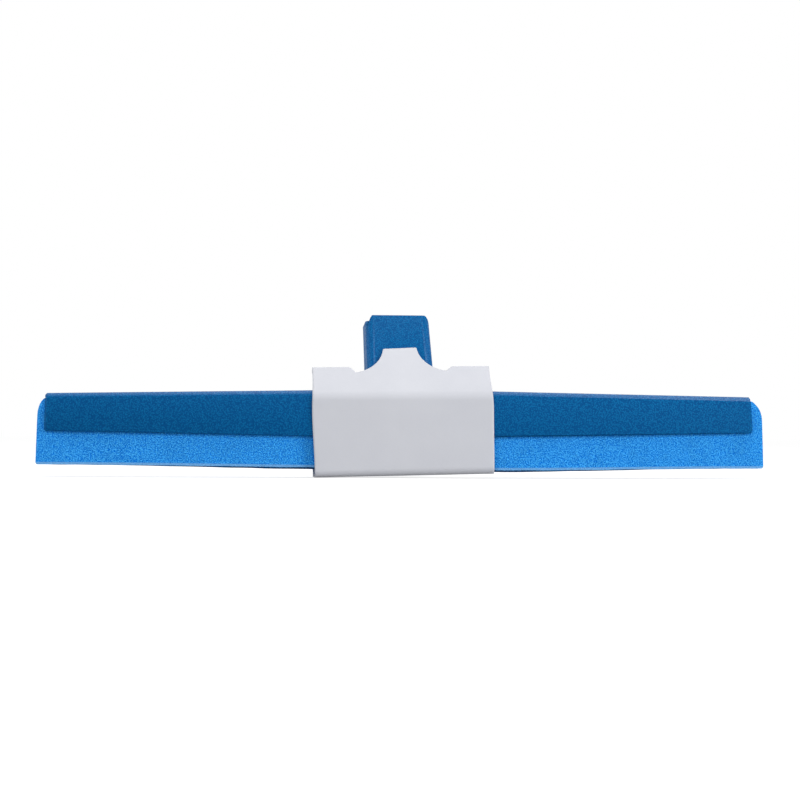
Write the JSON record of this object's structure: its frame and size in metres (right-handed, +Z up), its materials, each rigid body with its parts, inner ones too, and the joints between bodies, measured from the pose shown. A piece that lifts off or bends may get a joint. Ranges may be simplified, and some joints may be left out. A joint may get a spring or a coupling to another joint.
{
  "type": "floor squeegee head",
  "caption": "Floor wiper head with two foam lips clamped between moulded shells, a leaning threaded handle socket and a folded card sleeve.",
  "frame": {"origin": "on the axis of the handle socket, at the mouth of its thread, where the full round wall starts", "axes": "+X along the blade, +Y from the front of the head to its back, +Z up with the lips' working edges down; the socket's axis leans 38 degrees from +Z towards +Y"},
  "size_m": [0.4498, 0.0744, 0.1012],
  "materials": {
    "shell": "pebbled, satin",
    "foam": "closed-cell foam, fine open cells on the cut faces",
    "spacer": "plain moulded",
    "screw": "zinc plated",
    "card": "bare coated card, no print"
  },
  "bodies": {
    "head": {"front_shell": "shell", "rear_shell": "shell", "front_lip": "foam", "rear_lip": "foam", "spacer_strip": "spacer", "clamp_screws": "screw"},
    "sleeve": {"card_sleeve": "card"}
  },
  "joints": [
    {"name": "sleeve_slide", "type": "slide", "parent": "head", "child": "sleeve", "axis": [1, 0, 0], "range_m": [-0.006, 0.006]}
  ]
}
